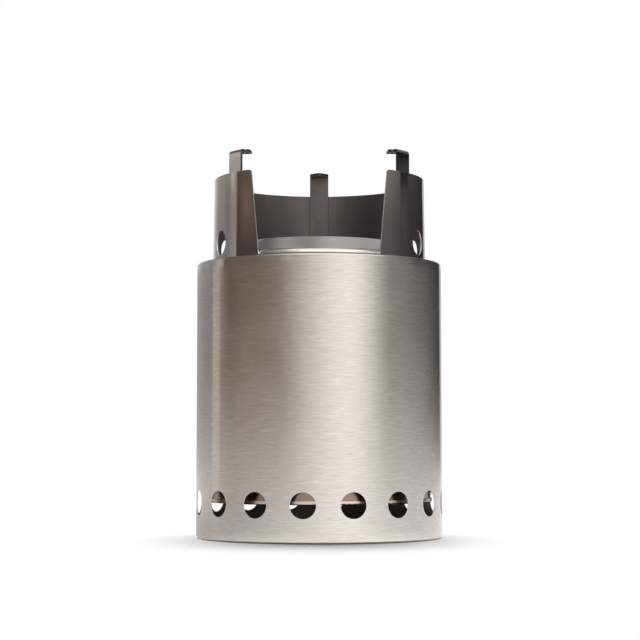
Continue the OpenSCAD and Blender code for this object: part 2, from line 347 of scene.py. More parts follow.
class Tree:
    """Adds nodes to a shader tree and links them."""

    def __init__(self, tree):
        self.tree = tree

    def add(self, kind, inputs=None, **settings):
        made = self.tree.nodes.new(kind)
        for key, value in settings.items():
            setattr(made, key, value)
        for key, value in (inputs or {}).items():
            self.put(made.inputs[key], value)
        return made

    def put(self, socket, value):
        """Links a socket to another, or sets its value."""
        if isinstance(value, bpy.types.NodeSocket):
            self.tree.links.new(value, socket)
        else:
            socket.default_value = value

    def math(self, operation, a, b=0.0, clamp=False):
        return self.add("ShaderNodeMath", {0: a, 1: b}, operation=operation, use_clamp=clamp).outputs[0]

    def vector(self, operation, a, b):
        made = self.add("ShaderNodeVectorMath", {0: a, 1: b}, operation=operation)
        return made.outputs["Value" if operation == "DOT_PRODUCT" else "Vector"]

    def remap(self, value, low, high, to_low=0.0, to_high=1.0, smooth=False):
        """Carries a value from one range over to another, and holds it there."""
        made = self.add("ShaderNodeMapRange", {0: value, 1: low, 2: high, 3: to_low, 4: to_high})
        made.interpolation_type = "SMOOTHSTEP" if smooth else "LINEAR"
        return made.outputs[0]

    def noise(self, vector, scale, detail=2.0, roughness=0.5):
        inputs = {"Vector": vector, "Scale": scale, "Detail": detail, "Roughness": roughness}
        return self.add("ShaderNodeTexNoise", inputs).outputs["Fac"]

    def mix(self, factor, a, b, blend="MIX"):
        made = self.add("ShaderNodeMix", data_type="RGBA", blend_type=blend)
        for socket, value in zip((made.inputs[0], made.inputs[6], made.inputs[7]), (factor, a, b)):
            self.put(socket, value)
        return made.outputs[2]

    def ramp(self, value, stops):
        made = self.add("ShaderNodeValToRGB", {0: value})
        elements = made.color_ramp.elements
        while len(elements) < len(stops):
            elements.new(0.5)
        for element, (at, colour_at) in zip(elements, stops):
            element.position = at
            element.color = (*colour_at, 1.0)
        return made.outputs["Color"]

    def coordinates(self, output="Object"):
        return self.add("ShaderNodeTexCoord").outputs[output]

    def height(self):
        return self.add("ShaderNodeSeparateXYZ", {0: self.coordinates()}).outputs["Z"]

    def group(self, name, **inputs):
        """Places a node group. Its inputs are named with _ for each space."""
        made = self.add("ShaderNodeGroup", node_tree=bpy.data.node_groups[name])
        for key, value in inputs.items():
            self.put(made.inputs[key.replace("_", " ")], value)
        return made.outputs


def new_group(name, inputs, outputs):
    """An empty shader group, with its inner input and output sockets."""
    tree = bpy.data.node_groups.new(name, "ShaderNodeTree")
    for label, (kind, default) in inputs.items():
        socket = tree.interface.new_socket(label, in_out="INPUT", socket_type="NodeSocket" + kind)
        socket.default_value = default
    for label, kind in outputs.items():
        tree.interface.new_socket(label, in_out="OUTPUT", socket_type="NodeSocket" + kind)
    nodes = Tree(tree)
    return nodes, nodes.add("NodeGroupInput").outputs, nodes.add("NodeGroupOutput").inputs


def new_material(name):
    """A new material, with its nodes and its shader."""
    material = bpy.data.materials.new(name)
    material.use_nodes = True
    return material, Tree(material.node_tree), material.node_tree.nodes["Principled BSDF"]


def show_glow(material, nodes, shader):
    """Puts a shader that glows on a material, without making a lamp of it."""
    nodes.put(material.node_tree.nodes["Material Output"].inputs["Surface"], shader.outputs[0])
    material.cycles.emission_sampling = "NONE"


def build_brushed_grain():
    """Short fine strokes of a brushed sheet, as a shade round one and a height."""
    nodes, given, put = new_group(
        "Brushed grain",
        {"Strokes": ("Vector", (80.0, 80.0, 2000.0)), "Contrast": ("Float", 0.1)},
        {"Shade": "Float", "Height": "Float"},
    )
    scaled = nodes.vector("MULTIPLY", nodes.coordinates(), given["Strokes"])
    strokes = nodes.noise(scaled, scale=1.0, detail=1.0, roughness=0.4)
    light = nodes.remap(strokes, 0.56, 0.76)
    dark = nodes.remap(strokes, 0.42, 0.26, 0.0, 0.7)
    lines = nodes.math("SUBTRACT", light, dark)
    nodes.put(put["Shade"], nodes.math("ADD", nodes.math("MULTIPLY", lines, given["Contrast"]), 1.0))
    nodes.put(put["Height"], strokes)


def build_smudges():
    """Broad soft patches where the sheet was handled, as a value round zero."""
    nodes, given, put = new_group(
        "Smudges", {"Patches": ("Float", 35.0), "Strength": ("Float", 0.05)}, {"Value": "Float"}
    )
    patches = nodes.noise(nodes.coordinates(), given["Patches"], detail=3.0, roughness=0.55)
    round_zero = nodes.remap(patches, 0.3, 0.7, -1.0, 1.0)
    nodes.put(put["Value"], nodes.math("MULTIPLY", round_zero, given["Strength"]))


def build_heat_tint():
    """Straw, bronze, purple and blue that steel takes on between a cool and a hot height."""
    nodes, given, put = new_group(
        "Heat tint",
        {"Color": ("Color", (0.5, 0.5, 0.5, 1.0)), "Amount": ("Float", 0.3),
         "Cool height": ("Float", 0.0), "Hot height": ("Float", 0.1)},
        {"Color": "Color"},
    )
    heat = nodes.remap(nodes.height(), given["Cool height"], given["Hot height"])
    clouds = nodes.noise(nodes.coordinates(), scale=28.0, detail=3.0)
    wander = nodes.remap(clouds, 0.25, 0.75, -0.28, 0.28)
    tint = nodes.ramp(nodes.math("ADD", heat, wander, clamp=True), [
        (0.0, (1.0, 0.98, 0.95)),
        (0.25, (0.98, 0.80, 0.55)),
        (0.45, (0.78, 0.48, 0.34)),
        (0.65, (0.52, 0.34, 0.44)),
        (0.82, (0.46, 0.46, 0.52)),
        (1.0, (0.46, 0.46, 0.47)),
    ])
    nodes.put(put["Color"], nodes.mix(given["Amount"], given["Color"],
                                      nodes.mix(1.0, given["Color"], tint, "MULTIPLY")))


def build_inner_side():
    """One on the faces that look towards the stove's axis, and zero on the outer faces."""
    nodes, _given, put = new_group("Inner side", {}, {"Mask": "Float"})
    place = nodes.vector("MULTIPLY", nodes.coordinates(), (1.0, 1.0, 0.0))
    outward = nodes.add("ShaderNodeVectorMath", {0: place}, operation="NORMALIZE").outputs["Vector"]
    facing = nodes.vector("DOT_PRODUCT", nodes.coordinates("Normal"), outward)
    nodes.put(put["Mask"], nodes.remap(facing, 0.2, -0.4, smooth=True))


def build_soot():
    """A film of soot laid over a colour, thicker in drifts, and how thick it lies."""
    nodes, given, put = new_group(
        "Soot",
        {"Color": ("Color", (0.5, 0.5, 0.5, 1.0)), "Soot color": ("Color", (0.02, 0.02, 0.02, 1.0)),
         "Amount": ("Float", 0.5)},
        {"Color": "Color", "Mask": "Float"},
    )
    place = nodes.coordinates()
    stretched = nodes.vector("MULTIPLY", place, (1.0, 1.0, 0.35))
    drifts = nodes.noise(stretched, scale=22.0, detail=3.0)
    specks = nodes.noise(place, scale=420.0)
    layer = nodes.math("ADD", nodes.math("MULTIPLY", drifts, 0.93), nodes.math("MULTIPLY", specks, 0.07))
    held = nodes.math("MULTIPLY", given["Amount"], nodes.remap(layer, 0.3, 0.7, 0.75, 1.15), clamp=True)
    nodes.put(put["Mask"], held)
    nodes.put(put["Color"], nodes.mix(held, given["Color"], given["Soot color"]))


# What soot does to steel where it lies thick, and the height over which it fades out below the rests
SOOT_ROUGHNESS = 0.45
SOOT_METALLIC = 0.25
SOOT_SPECULAR = 0.1
SOOT_FADE = 1.4 * MM
GRAIN_DEPTH = 0.02 * MM
QUARTER_TURN = 0.25
# Grain of a cut edge, even in all directions
EDGE_STROKES = (400.0, 400.0, 400.0)


def steel(finish, name, tone, roughness, strokes, contrast=0.05, smudge=0.03, relief=0.15,
          anisotropy=0.0, tint=None, soot=0.0, soot_inside=0.0, soot_above=None):
    """A steel finish: brushed grain, smudges, heat tint and soot, each with its own amount."""
    material, nodes, shader = new_material(name)
    grain = nodes.group("Brushed grain", Strokes=strokes, Contrast=contrast)
    base = nodes.mix(1.0, (*tone, 1.0), grain["Shade"], "MULTIPLY")
    if tint:
        amount, cool, hot = tint
        tinted = nodes.group("Heat tint", Color=base, Amount=amount, Cool_height=cool, Hot_height=hot)
        base = tinted["Color"]
    rough = nodes.math("ADD", nodes.group("Smudges", Strength=smudge)["Value"], roughness)
    if soot or soot_inside:
        inside = nodes.math("MULTIPLY", nodes.group("Inner side")["Mask"], soot_inside)
        lying = nodes.math("MAXIMUM", inside, soot)
        if soot_above:
            fade = nodes.remap(nodes.height(), soot_above - SOOT_FADE, soot_above)
            lying = nodes.math("MAXIMUM", lying, fade)
            shader.inputs["Specular IOR Level"].default_value = SOOT_SPECULAR
        layer = nodes.group("Soot", Color=base, Soot_color=(*finish.soot_colour, 1.0), Amount=lying)
        base = layer["Color"]
        dull = nodes.math("MULTIPLY", layer["Mask"], SOOT_ROUGHNESS)
        rough = nodes.math("ADD", rough, dull, clamp=True)
        nodes.put(shader.inputs["Metallic"], nodes.remap(layer["Mask"], 0.0, 1.0, 1.0, SOOT_METALLIC))
    else:
        shader.inputs["Metallic"].default_value = 1.0
    nodes.put(shader.inputs["Base Color"], base)
    nodes.put(shader.inputs["Roughness"], rough)
    if relief:
        bump = nodes.add("ShaderNodeBump", {"Height": grain["Height"], "Strength": relief,
                                            "Distance": GRAIN_DEPTH})
        nodes.put(shader.inputs["Normal"], bump.outputs["Normal"])
    if anisotropy:
        shader.inputs["Anisotropic"].default_value = anisotropy
        shader.inputs["Anisotropic Rotation"].default_value = QUARTER_TURN
        tangent = nodes.add("ShaderNodeTangent", direction_type="RADIAL", axis="Z")
        nodes.put(shader.inputs["Tangent"], tangent.outputs[0])


def brushed_wall(finish):
    """Satin steel of the outer wall, brushed round the stove. The soot on its inner face is painted shade in
    the gap between the walls.
    """
    steel(finish, "brushed_wall", finish.outer_colour, finish.outer_roughness, (160.0, 160.0, 1900.0),
          contrast=finish.grain_contrast, smudge=0.02, relief=0.12, anisotropy=0.75,
          soot_inside=finish.soot * 0.6)


def cut_edge(finish):
    """Bare steel on the cut edges of the sheets, near white and rough: partly its own bright tone, partly a
    painted highlight round the vents and rims.
    """
    steel(finish, "cut_edge", finish.cut_highlight_colour, roughness=0.45, strokes=EDGE_STROKES)


def tinted_shaded_ring(finish):
    """Smoother steel of the cooking ring, sooted inside, with heat colours that grow towards its foot and
    darken it there: partly heat tint, partly painted shade.
    """
    # The tint is hottest at the ring's foot, so it also paints the shade that makes the ring darker towards
    # the bottom
    cool = RING_HIGH.z + 6 * MM
    steel(finish, "tinted_shaded_ring", finish.ring_colour, finish.ring_roughness, (60.0, 60.0, 1500.0),
          relief=0.05, anisotropy=0.4, tint=(finish.heat_tint, cool, RING_LOW.z), soot_inside=finish.soot)


def polished_lip(finish):
    """Polished steel of the domed lip."""
    steel(finish, "polished_lip", finish.lip_colour, finish.lip_roughness, (50.0, 50.0, 600.0),
          contrast=0.03, smudge=0.02, relief=0.0, tint=(0.12, BASE_LOW.z, BASE_HIGH.z),
          soot_inside=finish.soot * 0.7)


def smoked_support(finish):
    """Steel of the pot supports, smoked towards the rests and sooted on top."""
    steel(finish, "smoked_support", finish.support_colour, roughness=0.13, strokes=(300.0, 300.0, 60.0),
          contrast=0.03, relief=0.02, tint=(0.1, SUPPORT_LOW.z, SUPPORT_HIGH.z),
          soot_inside=finish.soot, soot_above=SUPPORT_HIGH.z - 0.6 * MM)


def smoked_edge(finish):
    """Smoked cut edges of the pot supports."""
    steel(finish, "smoked_edge", finish.edge_colour, roughness=0.28, strokes=EDGE_STROKES)


def smoked_chamber_and_seam_shade(finish):
    """Smoked steel of the burn chamber and the pan, also used as painted shade in the seam below the lip's
    band.
    """
    steel(finish, "smoked_chamber_and_seam_shade", finish.chamber_colour, roughness=0.22, strokes=(60.0, 60.0, 900.0),
          contrast=0.06, smudge=0.05, relief=0.05, tint=(0.6, OUTER_LOW.z, OUTER_HIGH.z),
          soot_inside=finish.soot)


def drawn_seat(finish):
    """Plain steel of the grate's seat."""
    steel(finish, "drawn_seat", finish.seat_colour, roughness=0.34, strokes=(90.0, 90.0, 1200.0),
          contrast=0.06, smudge=0.05, relief=0.1, soot_inside=finish.soot * 0.6)


def fired_wire(finish):
    """Fired wire of the grate, with soot and heat colours."""
    steel(finish, "fired_wire", finish.wire_colour, roughness=0.42, strokes=(500.0, 120.0, 500.0),
          contrast=0.1, smudge=0.08, relief=0.2, tint=(0.7, 10 * MM, 34 * MM), soot=finish.soot * 0.55)


# Pieces


class TWIGSTOVE_OT_finishes(Operator):
    """Builds the shader groups and the steel finishes"""

    bl_idname = "twig_stove.finishes"
    bl_label = "Finishes"

    def execute(self, context):
        for build in (build_brushed_grain, build_smudges, build_heat_tint, build_inner_side, build_soot):
            build()
        for make in (brushed_wall, cut_edge, tinted_shaded_ring, polished_lip, smoked_support, smoked_edge,
                     smoked_chamber_and_seam_shade, drawn_seat, fired_wire):
            make(context.scene.twig_stove_finish)
        return {"FINISHED"}


class TWIGSTOVE_OT_outer_wall(Operator):
    """Adds the outer wall with its rounded shoulder, turned-in foot and row of vents"""

    bl_idname = "twig_stove.outer_wall"
    bl_label = "Outer wall"

    def execute(self, context):
        sizes = context.scene.twig_stove_sizes
        across, up, rings, corner_steps, wall_rows = 20, 14, 5, 8, 24
        radius, top = OUTER_HIGH.x, OUTER_HIGH.z
        vent_r = sizes.vent_diameter / 2
        low, high = sizes.vent_height - VENT_PATCH * vent_r, sizes.vent_height + VENT_PATCH * vent_r
        foot_x = radius - sizes.foot_radius
        shoulder_x = radius - sizes.shoulder_draw - sizes.shoulder_radius
        shoulder_z = top - sizes.shoulder_radius
        band_z = shoulder_z - sizes.shoulder_band
        below = [(foot_x - sizes.foot_width, 0.0), (foot_x - sizes.foot_width / 2, 0.0)]
        below += arc((foot_x, sizes.foot_radius), sizes.foot_radius, -math.pi / 2, 0, corner_steps)
        below += [(radius, (sizes.foot_radius + low) / 2), (radius, low)]
        above = [(radius, z) for z in steps(high, band_z, wall_rows)[:-1]]
        for t in steps(0, 1, corner_steps)[:-1]:
            drawn_in = sizes.shoulder_draw * (1 - math.cos(math.pi * t)) / 2
            above.append((radius - drawn_in, band_z + sizes.shoulder_band * t))
        above += arc((shoulder_x, shoulder_z), sizes.shoulder_radius, 0, math.pi / 2, corner_steps)
        above += [(shoulder_x - sizes.ledge_width, top)]
        mesh = bmesh.new()
        sector = 2 * math.pi / sizes.vent_count
        for i in range(sizes.vent_count):
            span = [sizes.vent_turn + (i + side) * sector for side in (-0.5, 0.5)]
            for profile in (below, above):
                sweep(mesh, profile, steps(*span, across), False)
            pierced_cell(mesh, span, low, high, (sizes.vent_height, vent_r), lambda z: radius,
                         across, up, rings)
        weld(mesh)
        piece = add_piece("outer_wall_sheet", mesh, ("brushed_wall", "cut_edge"), STOVE,
                          "outer_steel", "outer_wall")
        thicken(piece, sizes.wall_sheet, sizes.cut_edge)
        return {"FINISHED"}


class TWIGSTOVE_OT_chamber(Operator):
    """Finishes the burn chamber, the grate's seat and the ash pan"""

    bl_idname = "twig_stove.chamber"
    bl_label = "Burn chamber"

    def execute(self, context):
        dress("inner_wall", "smoked_chamber_and_seam_shade")
        dress("ash_pan", "smoked_chamber_and_seam_shade")
        dress("grate_seat", "drawn_seat")
        return {"FINISHED"}


class TWIGSTOVE_OT_grate(Operator):
    """Adds the wires of the grate, with rounded ends and weld beads"""

    bl_idname = "twig_stove.grate"
    bl_label = "Grate"

    def execute(self, context):
        sizes = context.scene.twig_stove_sizes
        dress("grate_rim", "fired_wire")
        for node in GRATE_BARS + CROSS_WIRES:
            self.add_wire(node, sizes.wire_end)
        self.add_beads(sizes.weld_bead, sizes.weld_crown)
        return {"FINISHED"}

    def add_wire(self, node, end):
        """A straight wire with rounded ends, as long as its node."""
        tip_steps, long_steps, round_steps = 5, 12, 24
        low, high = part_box(node)
        size = high - low
        half, radius = max(size.x, size.y) / 2, size.z / 2
        tip = arc((radius - end, half - end), end, 0, math.pi / 2, tip_steps)
        profile = [(POLE_RADIUS, -half)] + [(r, -z) for r, z in reversed(tip)]
        profile += [(radius, z) for z in steps(end - half, half - end, long_steps)[1:-1]]
        profile += tip + [(POLE_RADIUS, half)]
        mesh = lathe(profile, round_steps)
        turned = Matrix.Rotation(math.pi / 2, 4, "X" if size.y > size.x else "Y")
        mesh.transform(Matrix.Translation((low + high) / 2) @ turned)
        add_piece(node + "_wire", mesh, ("fired_wire",), STOVE, "grate_wire", node)

    def add_beads(self, radius, crown):
        """A bead of weld wherever a bar crosses the rim or a cross wire."""
        rim_low, rim_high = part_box("grate_rim")
        rim_r = rim_high.x - (rim_high.z - rim_low.z) / 2
        crossings = [(low.y + high.y) / 2 for low, high in map(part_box, CROSS_WIRES)]
        bead = Matrix.Diagonal((radius, radius, radius * crown, 1.0))
        mesh = bmesh.new()
        for low, high in map(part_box, GRATE_BARS):
            x = (low.x + high.x) / 2
            reach = math.sqrt(rim_r ** 2 - x ** 2)
            for y in [-reach, reach] + crossings:
                bmesh.ops.create_uvsphere(mesh, u_segments=16, v_segments=10, radius=1.0,
                                          matrix=Matrix.Translation((x, y, rim_high.z)) @ bead)
        add_piece("grate_weld_beads", mesh, ("fired_wire",), STOVE, "grate_wire")


class TWIGSTOVE_OT_lip(Operator):
    """Adds the ring's flange with its neck, bright band and polished domed lip"""

    bl_idname = "twig_stove.lip"
    bl_label = "Domed lip"

    def execute(self, context):
        sizes = context.scene.twig_stove_sizes
        fold_steps, round_steps = 6, 256
        rest, crest, sheet, fold = BASE_LOW.z, BASE_HIGH.z, sizes.ring_sheet, sizes.flange_fold
        flange_r, band_x = BASE_HIGH.x, RING_HIGH.x - sheet - sizes.neck_gap
        corner, turned, edge = sizes.band_tuck, sizes.band_turn, sizes.cut_edge
        lean, dome_r, roll_r = sizes.band_lean, sizes.dome_radius, sizes.lip_roll
        facing = Vector((math.cos(lean), math.sin(lean)))
        tuck = Vector((band_x - corner, rest + sizes.band_height))
        bend = tuck + sizes.band_width * Vector((-facing.y, facing.x)) + (corner - turned) * facing
        roll = Vector((band_x - sizes.lip_width, crest - roll_r))
        dome = self.meeting_point(bend, dome_r - turned, roll, dome_r - roll_r)
        first, last = (math.atan2(*(end - dome).yx) for end in (bend, roll))
        # Arcs of the outer face: middle, radius, first and last angle, and number of steps
        outer = [
            (tuck, corner, -math.pi / 2, lean, 12),
            (bend, turned, lean, first, 8),
            (dome, dome_r, first, last, 40),
            (roll, roll_r, last, sizes.roll_turn, 30),
        ]
        inner = [(middle, radius - sheet, end, start, count)
                 for middle, radius, start, end, count in reversed(outer)]
        lip = [point for part in outer + inner for point in arc(*part)]
        neck_out, neck_in = tuck.x, tuck.x - sheet
        flange = [(neck_in, rest), (flange_r - edge, rest), (flange_r, rest + edge),
                  (flange_r, rest + sheet - edge), (flange_r - edge, rest + sheet)]
        inside_fold = arc((neck_out + fold, rest + sheet + fold), fold, 1.5 * math.pi, math.pi, fold_steps)
        profile = flange + inside_fold + lip + [(neck_in, lip[-1][1])]
        mesh = lathe(profile + profile[:1], round_steps)
        # The neck and the top of the flange take the dark chamber finish: painted shade in the seam between
        # the lip's band and the shoulder
        for face in mesh.faces:
            heights = [vert.co.z for vert in face.verts]
            face.material_index = min(heights) > rest + sheet / 2 and max(heights) < tuck.y - corner + edge
        weld(mesh)
        add_piece("domed_lip", mesh, ("polished_lip", "smoked_chamber_and_seam_shade"), RING, "lip_steel", "ring_base")
        return {"FINISHED"}

    def meeting_point(self, a, from_a, b, from_b):
        """The point at given distances from a and b, on the side of the stove's axis."""
        step = b - a
        along = (from_a ** 2 - from_b ** 2 + step.length_squared) / (2 * step.length)
        off = math.sqrt(from_a ** 2 - along ** 2)
        ahead = step.normalized()
        return a + along * ahead + off * Vector((-ahead.y, ahead.x))


class TWIGSTOVE_OT_ring_wall(Operator):
    """Adds the tapered wall of the cooking ring, with its feed opening and holes"""

    bl_idname = "twig_stove.ring_wall"
    bl_label = "Ring wall"

    def execute(self, context):
        sizes = context.scene.twig_stove_sizes
        across, beside_rows, hole_rings, below_rows, above_rows, corner_rows = 12, 12, 4, 2, 16, 8
        corner_end = math.radians(80)
        corner = sizes.feed_corner
        base_r, low, high = RING_HIGH.x, RING_LOW.z, RING_HIGH.z + sizes.ring_rise
        top_r = base_r - sizes.ring_taper
        base_x, top_x = base_r * math.sin(sizes.feed_base_angle), top_r * math.sin(sizes.feed_top_angle)
        lean = math.atan2(top_x - base_x, high - low)
        corner_z = high - corner
        corner_x = base_x + (corner_z - low) * math.tan(lean) + corner / math.cos(lean)

        def radius_at(z):
            return base_r + (top_r - base_r) * (z - low) / (high - low)

        def feed_edge(z):
            """Angle of the feed opening's edge at a height."""
            x = base_x + (z - low) * math.tan(lean)
            if z > corner_z:
                x = corner_x - math.sqrt(max(corner ** 2 - (z - corner_z) ** 2, 0.0))
            return math.asin(x / radius_at(z))

        hole_r = sizes.ring_hole_diameter / 2
        hole_z = low + sizes.ring_hole_height
        patch_low, patch_high = hole_z - RING_PATCH_HEIGHT * hole_r, hole_z + RING_PATCH_HEIGHT * hole_r
        half = RING_PATCH_WIDTH * math.asin(hole_r / base_r)
        holes = [sizes.ring_hole_first + i * sizes.ring_hole_pitch for i in range(3)]
        holes += [2 * math.pi - a for a in reversed(holes)]
        below, beside = steps(low, patch_low, below_rows), steps(patch_low, patch_high, beside_rows)
        above = steps(patch_high, corner_z, above_rows)
        above += [corner_z + corner * math.sin(a) for a in steps(0, corner_end, corner_rows)[1:]] + [high]
        mesh = bmesh.new()

        def plain(start, end, heights):
            """A patch without a hole, between two edges that give their angle at a height."""
            rows = []
            for z in heights:
                rows.append([around(a, radius_at(z), z) for a in steps(start(z), end(z), across)])
            join_rows(mesh, rows, False)

        edges = [feed_edge] + [lambda z, a=a + side: a for a in holes for side in (-half, half)]
        edges += [lambda z: 2 * math.pi - feed_edge(z)]
        for i, (start, end) in enumerate(zip(edges, edges[1:])):
            plain(start, end, below)
            plain(start, end, above)
            if i % 2:
                pierced_cell(mesh, (start(0), end(0)), patch_low, patch_high, (hole_z, hole_r), radius_at,
                             across, beside_rows, hole_rings)
            else:
                plain(start, end, beside)
        weld(mesh)
        piece = add_piece("ring_wall_sheet", mesh, ("tinted_shaded_ring", "cut_edge"), RING,
                          "ring_steel", "ring_wall")
        thicken(piece, sizes.ring_sheet, sizes.cut_edge)
        return {"FINISHED"}


class TWIGSTOVE_OT_pot_supports(Operator):
    """Adds the three bent straps that carry a pot"""

    bl_idname = "twig_stove.pot_supports"
    bl_label = "Pot supports"

    def execute(self, context):
        sizes = context.scene.twig_stove_sizes
        sides = {"left": -sizes.support_angle, "right": sizes.support_angle, "back": math.pi}
        for side, angle in sides.items():
            piece = add_piece("pot_rest_" + side, self.strap(sizes, angle), ("smoked_support", "smoked_edge"),
                              RING, "support_steel", "pot_support_" + side)
            thicken(piece, sizes.support_sheet, sizes.support_edge)
        return {"FINISHED"}

    def strap(self, sizes, angle):
        """The outer face of a strap, bent inward at its top, with relief notches and a pointed nose."""
        leg_steps, bend_steps, notch_steps, rest_steps, nose_steps, across = 12, 10, 12, 2, 3, 8
        bend, notch = sizes.support_bend, sizes.support_notch
        back, nose = SUPPORT_HIGH.y, SUPPORT_LOW.y - sizes.support_point
        low, top = SUPPORT_LOW.z, SUPPORT_HIGH.z
        bend_x, bend_z = back - bend, top - bend
        notch_x, nose_x = bend_x - notch, nose + sizes.support_nose
        path = [(back, z) for z in steps(low, bend_z, leg_steps)[:-1]]
        path += arc((bend_x, bend_z), bend, 0, math.pi / 2, bend_steps)
        path += [(notch_x + notch * math.cos(a), top) for a in steps(0, math.pi, notch_steps)[1:]]
        path += [(x, top) for x in steps(notch_x - notch, nose_x, rest_steps)[1:]]
        path += [(x, top) for x in steps(nose_x, nose, nose_steps)[1:]]
        outward, right = around(angle, 1.0, 0.0), around(angle + math.pi / 2, 1.0, 0.0)
        rows = []
        for x, z in path:
            half = sizes.support_width / 2
            if z == top:
                half -= math.sqrt(max(notch ** 2 - (x - notch_x) ** 2, 0.0))
                half -= max(nose_x - x, 0.0)
            rows.append([outward * x + right * y + Vector((0, 0, z)) for y in steps(-half, half, across)])
        mesh = bmesh.new()
        join_rows(mesh, rows, False)
        return mesh


# Studio


def grey(level):
    """A tone without a hue."""
    return (level, level, level)


class TWIGSTOVE_OT_studio(Operator):
    """Adds the camera, the pale floor, the white surround and the light"""

    bl_idname = "twig_stove.studio"
    bl_label = "Studio"

    # Light round the stove, in bands from the table top up to the ceiling. Each stop is an angle from the
    # camera to the right and the colour there, or the colours at the band's lower and upper edge. Two stops
    # at one angle are the edge of a card, and the first stop comes again after a full turn
    WALL_LIGHT = (
        (-162, (0.37, 0.37, 0.38)), (-116, (0.25, 0.245, 0.24)),
        (-116, (0.53, 0.47, 0.41)), (-104, (0.50, 0.41, 0.31)),
        (-104, (0.21, 0.14, 0.09)), (-92, (0.195, 0.15, 0.112)),
        (-92, (0.12, 0.096, 0.08)), (-68, (0.178, 0.124, 0.09)), (-42, (0.188, 0.147, 0.117)),
        (27, (1.15, 1.12, 1.09)),
        (72, (0.30, 0.285, 0.265), (0.21, 0.195, 0.18)), (155, grey(0.055), grey(0.04)),
        (155, (0.60, 0.60, 0.61)), (167, (0.60, 0.60, 0.61)),
    )
    RING_LIGHT = (
        (-164, grey(0.78)), (-140, grey(0.37)), (-127, (0.38, 0.37, 0.37)),
        (-118, (0.34, 0.33, 0.32), (0.26, 0.25, 0.245)), (-99.5, (0.60, 0.53, 0.48), (0.42, 0.375, 0.345)),
        (-99.5, (0.10, 0.085, 0.08), (0.105, 0.085, 0.078)),
        (-84, (0.012, 0.010, 0.010), (0.32, 0.25, 0.225)), (-62, (0.12, 0.10, 0.09)),
        (-42, (0.17, 0.14, 0.12)), (27, (1.15, 1.12, 1.09)),
        (72, (0.10, 0.098, 0.097), (0.25, 0.24, 0.235)), (103, (0.07, 0.069, 0.069), (0.135, 0.13, 0.128)),
        (118, grey(0.05), (0.075, 0.074, 0.073)), (155, (0.035, 0.035, 0.036)),
        (155, (0.60, 0.60, 0.61)),
    )
    STRAP_LIGHT = (
        (-164, grey(0.50)), (-125, (0.40, 0.39, 0.38)), (-112, (0.42, 0.40, 0.385)),
        (-110, (0.79, 0.75, 0.71)), (-106, (0.79, 0.75, 0.71)), (-103, (0.48, 0.45, 0.42)),
        (-100, (0.44, 0.40, 0.37)), (-100, (0.14, 0.12, 0.11)), (-62, (0.15, 0.13, 0.115)),
        (-42, (0.27, 0.245, 0.22)), (-25, (0.60, 0.57, 0.54)), (27, (1.15, 1.12, 1.09)),
        (72, (0.32, 0.31, 0.30)), (98, (0.20, 0.195, 0.19)),
        (98, grey(0.012)), (113, grey(0.012)), (113, grey(0.09)), (155, grey(0.04)),
        (160, (0.48, 0.47, 0.47)),
    )
    TOP_LIGHT = (
        (-164, grey(0.30)), (-90, (0.12, 0.11, 0.10)), (-62, (0.26, 0.24, 0.22)),
        (-34, (0.85, 0.83, 0.81)), (-14, (1.60, 1.58, 1.56)), (56, (1.60, 1.58, 1.56)),
        (85, grey(0.10)), (150, grey(0.05)), (160, (0.48, 0.47, 0.47)),
    )
    # Haze of the table top, which the lowest band takes on
    TABLE_HAZE = (0.85, 0.83, 0.81)
    # Light on the table top, near the stove and beyond
    NEAR_LIGHT = (
        (-165, (0.53, 0.52, 0.51)), (-90, (0.55, 0.53, 0.52)), (30, (1.16, 1.14, 1.12)),
        (85, (0.94, 0.93, 0.92)), (155, grey(0.92)),
    )
    FAR_LIGHT = (
        (-165, (0.84, 0.83, 0.82)), (-90, (0.86, 0.84, 0.83)), (30, (1.13, 1.11, 1.09)),
        (85, (1.02, 1.01, 1.00)), (155, grey(0.95)),
    )
    # Light from the ceiling, in front of the stove and behind it, with stops in metres from left to right
    FRONT_CEILING = (
        (-1.8, grey(0.12)), (-1.1, (0.38, 0.37, 0.36)), (-0.75, (0.92, 0.90, 0.88)),
        (-0.4, (1.4, 1.38, 1.36)), (1.05, (1.4, 1.38, 1.36)), (1.4, (0.80, 0.78, 0.77)),
        (1.8, grey(0.10)),
    )
    BACK_CEILING = (
        (-1.8, grey(0.12)), (-0.5, grey(0.16)), (-0.3, (0.40, 0.39, 0.38)),
        (-0.13, grey(0.33)), (0.15, (0.58, 0.57, 0.57)), (0.5, (0.45, 0.44, 0.44)),
        (1.8, grey(0.10)),
    )

    def execute(self, context):
        studio = context.scene.twig_stove_studio
        context.scene.view_settings.view_transform = "Standard"
        self.add_camera(context, studio)
        self.add_world(context, studio)
        self.add_floor(studio)
        self.add_cards(studio)
        self.add_top_light(context, studio)
        return {"FINISHED"}

    def add_camera(self, context, studio):
        data = bpy.data.cameras.new("camera")
        data.lens = studio.camera_lens
        data.shift_x = studio.camera_shift
        camera = bpy.data.objects.new("camera", data)
        camera.location = (0.0, -studio.camera_distance, studio.camera_height)
        camera.rotation_euler = (math.pi / 2 + studio.camera_pitch, 0.0, 0.0)
        context.scene.collection.objects.link(camera)
        context.scene.camera = camera

    def background_rays(self, nodes):
        """One for the rays that see the background: the camera's, and those that metal and glass send on."""
        path = nodes.add("ShaderNodeLightPath").outputs
        seen = nodes.math("MAXIMUM", path["Is Camera Ray"], path["Is Glossy Ray"])
        return nodes.math("MAXIMUM", seen, path["Is Transmission Ray"])

    def add_world(self, context, studio):
        world = bpy.data.worlds.new("white_surround")
        world.use_nodes = True
        world.cycles.sampling_method = "NONE"
        nodes = Tree(world.node_tree)
        background = world.node_tree.nodes["Background"]
        background.inputs["Color"].default_value = (1.0, 1.0, 1.0, 1.0)
        strength = nodes.remap(self.background_rays(nodes), 0.0, 1.0, studio.ambient, 1.0)
        nodes.put(background.inputs["Strength"], strength)
        context.scene.world = world

    def add_stage(self, name, mesh, material):
        stage = add_object(name, mesh, [material])
        return stage

